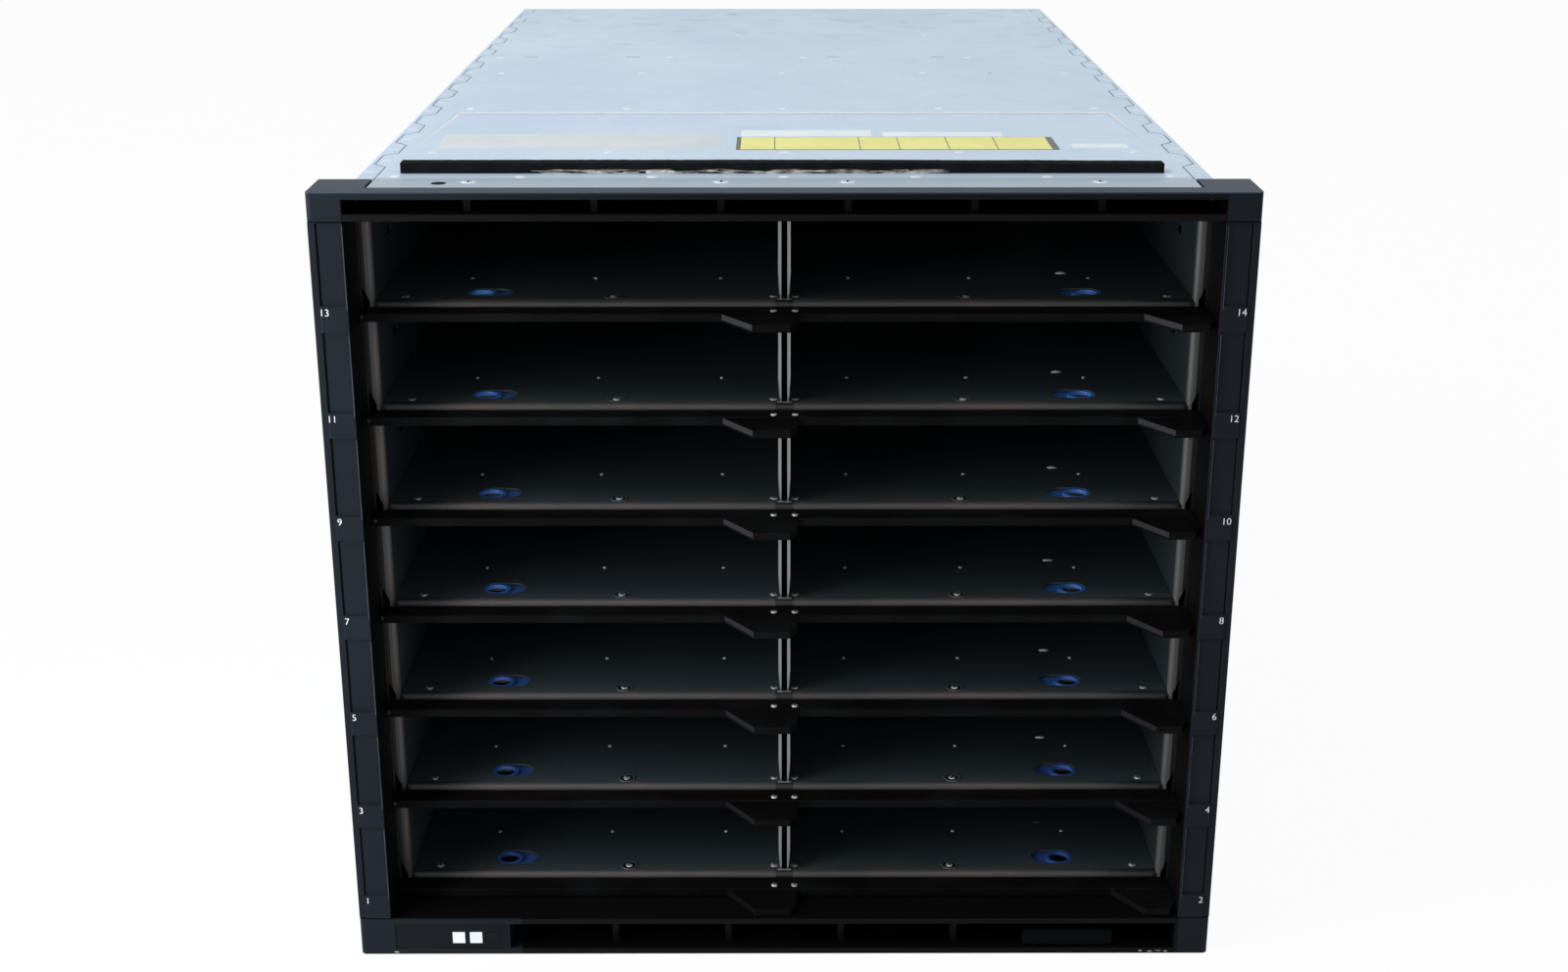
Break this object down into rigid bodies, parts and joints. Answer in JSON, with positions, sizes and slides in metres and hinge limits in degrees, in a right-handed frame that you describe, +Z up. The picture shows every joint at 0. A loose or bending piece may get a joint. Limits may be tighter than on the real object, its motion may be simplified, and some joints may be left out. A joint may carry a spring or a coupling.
{
  "type": "blade server chassis",
  "caption": "Rack housing for half-width compute nodes: open front bays on removable shelves with sliding latches, rear fan and power bays.",
  "frame": {"origin": "bottom centre of the whole object's box", "axes": "+X to the right across the front, +Y to the rear, +Z up"},
  "size_m": [0.484, 0.848, 0.4445],
  "materials": {
    "zinc_steel": "pale zinc-plated sheet, satin",
    "seal_foam": "matt black foam",
    "dark_steel": "dark satin sheet steel",
    "black_moulding": "satin black moulding",
    "window_plastic": "white lens",
    "circuit_board": "solder mask",
    "connector_plastic": "moulded",
    "module_steel": "plain plated sheet",
    "blue_plastic": "moulded blue",
    "rotor_plastic": "moulded"
  },
  "bodies": {
    "chassis": {"base_pan": "zinc_steel", "left_side_panel": "zinc_steel", "right_side_panel": "zinc_steel", "top_cover": "zinc_steel", "cover_fasteners": "zinc_steel", "air_seal_strip": "seal_foam", "bay_ceiling": "dark_steel", "left_bay_liner": "dark_steel", "right_bay_liner": "dark_steel", "bezel_top_bar": "black_moulding", "bezel_bottom_bar": "black_moulding", "bezel_left_column": "black_moulding", "bezel_right_column": "black_moulding", "front_plates": "black_moulding", "indicator_windows": "window_plastic", "midplane_board": "circuit_board", "midplane_connectors": "connector_plastic", "rear_frame": "dark_steel", "power_supplies": "module_steel", "fan_housings": "black_moulding", "io_fillers": "black_moulding", "management_modules": "module_steel"},
    "shelf_1": {"shelf_1": "dark_steel", "shelf_bar_1": "black_moulding"},
    "left_latch_1": {"left_latch_1": "blue_plastic"},
    "right_latch_1": {"right_latch_1": "blue_plastic"},
    "shelf_2": {"shelf_2": "dark_steel", "shelf_bar_2": "black_moulding"},
    "left_latch_2": {"left_latch_2": "blue_plastic"},
    "right_latch_2": {"right_latch_2": "blue_plastic"},
    "shelf_3": {"shelf_3": "dark_steel", "shelf_bar_3": "black_moulding"},
    "left_latch_3": {"left_latch_3": "blue_plastic"},
    "right_latch_3": {"right_latch_3": "blue_plastic"},
    "shelf_4": {"shelf_4": "dark_steel", "shelf_bar_4": "black_moulding"},
    "left_latch_4": {"left_latch_4": "blue_plastic"},
    "right_latch_4": {"right_latch_4": "blue_plastic"},
    "shelf_5": {"shelf_5": "dark_steel", "shelf_bar_5": "black_moulding"},
    "left_latch_5": {"left_latch_5": "blue_plastic"},
    "right_latch_5": {"right_latch_5": "blue_plastic"},
    "shelf_6": {"shelf_6": "dark_steel", "shelf_bar_6": "black_moulding"},
    "left_latch_6": {"left_latch_6": "blue_plastic"},
    "right_latch_6": {"right_latch_6": "blue_plastic"},
    "shelf_7": {"shelf_7": "dark_steel", "shelf_bar_7": "black_moulding"},
    "left_latch_7": {"left_latch_7": "blue_plastic"},
    "right_latch_7": {"right_latch_7": "blue_plastic"},
    "fan_rotor_1": {"fan_rotor_1": "rotor_plastic"},
    "fan_rotor_2": {"fan_rotor_2": "rotor_plastic"},
    "fan_rotor_3": {"fan_rotor_3": "rotor_plastic"},
    "fan_rotor_4": {"fan_rotor_4": "rotor_plastic"},
    "fan_rotor_5": {"fan_rotor_5": "rotor_plastic"},
    "fan_rotor_6": {"fan_rotor_6": "rotor_plastic"},
    "fan_rotor_7": {"fan_rotor_7": "rotor_plastic"},
    "fan_rotor_8": {"fan_rotor_8": "rotor_plastic"},
    "fan_rotor_9": {"fan_rotor_9": "rotor_plastic"},
    "fan_rotor_10": {"fan_rotor_10": "rotor_plastic"}
  },
  "joints": [
    {"name": "shelf_1_slide", "type": "slide", "parent": "chassis", "child": "shelf_1", "axis": [0, -1, 0], "range_m": [0, 0.51]},
    {"name": "left_latch_1_slide", "type": "slide", "parent": "shelf_1", "child": "left_latch_1", "axis": [1, 0, 0], "range_m": [0, 0.008]},
    {"name": "right_latch_1_slide", "type": "slide", "parent": "shelf_1", "child": "right_latch_1", "axis": [-1, 0, 0], "range_m": [0, 0.008]},
    {"name": "shelf_2_slide", "type": "slide", "parent": "chassis", "child": "shelf_2", "axis": [0, -1, 0], "range_m": [0, 0.51]},
    {"name": "left_latch_2_slide", "type": "slide", "parent": "shelf_2", "child": "left_latch_2", "axis": [1, 0, 0], "range_m": [0, 0.008]},
    {"name": "right_latch_2_slide", "type": "slide", "parent": "shelf_2", "child": "right_latch_2", "axis": [-1, 0, 0], "range_m": [0, 0.008]},
    {"name": "shelf_3_slide", "type": "slide", "parent": "chassis", "child": "shelf_3", "axis": [0, -1, 0], "range_m": [0, 0.51]},
    {"name": "left_latch_3_slide", "type": "slide", "parent": "shelf_3", "child": "left_latch_3", "axis": [1, 0, 0], "range_m": [0, 0.008]},
    {"name": "right_latch_3_slide", "type": "slide", "parent": "shelf_3", "child": "right_latch_3", "axis": [-1, 0, 0], "range_m": [0, 0.008]},
    {"name": "shelf_4_slide", "type": "slide", "parent": "chassis", "child": "shelf_4", "axis": [0, -1, 0], "range_m": [0, 0.51]},
    {"name": "left_latch_4_slide", "type": "slide", "parent": "shelf_4", "child": "left_latch_4", "axis": [1, 0, 0], "range_m": [0, 0.008]},
    {"name": "right_latch_4_slide", "type": "slide", "parent": "shelf_4", "child": "right_latch_4", "axis": [-1, 0, 0], "range_m": [0, 0.008]},
    {"name": "shelf_5_slide", "type": "slide", "parent": "chassis", "child": "shelf_5", "axis": [0, -1, 0], "range_m": [0, 0.51]},
    {"name": "left_latch_5_slide", "type": "slide", "parent": "shelf_5", "child": "left_latch_5", "axis": [1, 0, 0], "range_m": [0, 0.008]},
    {"name": "right_latch_5_slide", "type": "slide", "parent": "shelf_5", "child": "right_latch_5", "axis": [-1, 0, 0], "range_m": [0, 0.008]},
    {"name": "shelf_6_slide", "type": "slide", "parent": "chassis", "child": "shelf_6", "axis": [0, -1, 0], "range_m": [0, 0.51]},
    {"name": "left_latch_6_slide", "type": "slide", "parent": "shelf_6", "child": "left_latch_6", "axis": [1, 0, 0], "range_m": [0, 0.008]},
    {"name": "right_latch_6_slide", "type": "slide", "parent": "shelf_6", "child": "right_latch_6", "axis": [-1, 0, 0], "range_m": [0, 0.008]},
    {"name": "shelf_7_slide", "type": "slide", "parent": "chassis", "child": "shelf_7", "axis": [0, -1, 0], "range_m": [0, 0.51]},
    {"name": "left_latch_7_slide", "type": "slide", "parent": "shelf_7", "child": "left_latch_7", "axis": [1, 0, 0], "range_m": [0, 0.008]},
    {"name": "right_latch_7_slide", "type": "slide", "parent": "shelf_7", "child": "right_latch_7", "axis": [-1, 0, 0], "range_m": [0, 0.008]},
    {"name": "fan_1_spin", "type": "hinge", "parent": "chassis", "child": "fan_rotor_1", "pos_m": [-0.1233, 0.366, 0.04899], "axis": [0, 1, 0], "continuous": true},
    {"name": "fan_2_spin", "type": "hinge", "parent": "chassis", "child": "fan_rotor_2", "pos_m": [-0.1233, 0.366, 0.14246], "axis": [0, 1, 0], "continuous": true},
    {"name": "fan_3_spin", "type": "hinge", "parent": "chassis", "child": "fan_rotor_3", "pos_m": [-0.1233, 0.366, 0.23594], "axis": [0, 1, 0], "continuous": true},
    {"name": "fan_4_spin", "type": "hinge", "parent": "chassis", "child": "fan_rotor_4", "pos_m": [-0.1233, 0.366, 0.32941], "axis": [0, 1, 0], "continuous": true},
    {"name": "fan_5_spin", "type": "hinge", "parent": "chassis", "child": "fan_rotor_5", "pos_m": [-0.1233, 0.366, 0.4059], "axis": [0, 1, 0], "continuous": true},
    {"name": "fan_6_spin", "type": "hinge", "parent": "chassis", "child": "fan_rotor_6", "pos_m": [0.1233, 0.366, 0.04899], "axis": [0, 1, 0], "continuous": true},
    {"name": "fan_7_spin", "type": "hinge", "parent": "chassis", "child": "fan_rotor_7", "pos_m": [0.1233, 0.366, 0.14246], "axis": [0, 1, 0], "continuous": true},
    {"name": "fan_8_spin", "type": "hinge", "parent": "chassis", "child": "fan_rotor_8", "pos_m": [0.1233, 0.366, 0.23594], "axis": [0, 1, 0], "continuous": true},
    {"name": "fan_9_spin", "type": "hinge", "parent": "chassis", "child": "fan_rotor_9", "pos_m": [0.1233, 0.366, 0.32941], "axis": [0, 1, 0], "continuous": true},
    {"name": "fan_10_spin", "type": "hinge", "parent": "chassis", "child": "fan_rotor_10", "pos_m": [0.1233, 0.366, 0.4059], "axis": [0, 1, 0], "continuous": true}
  ]
}
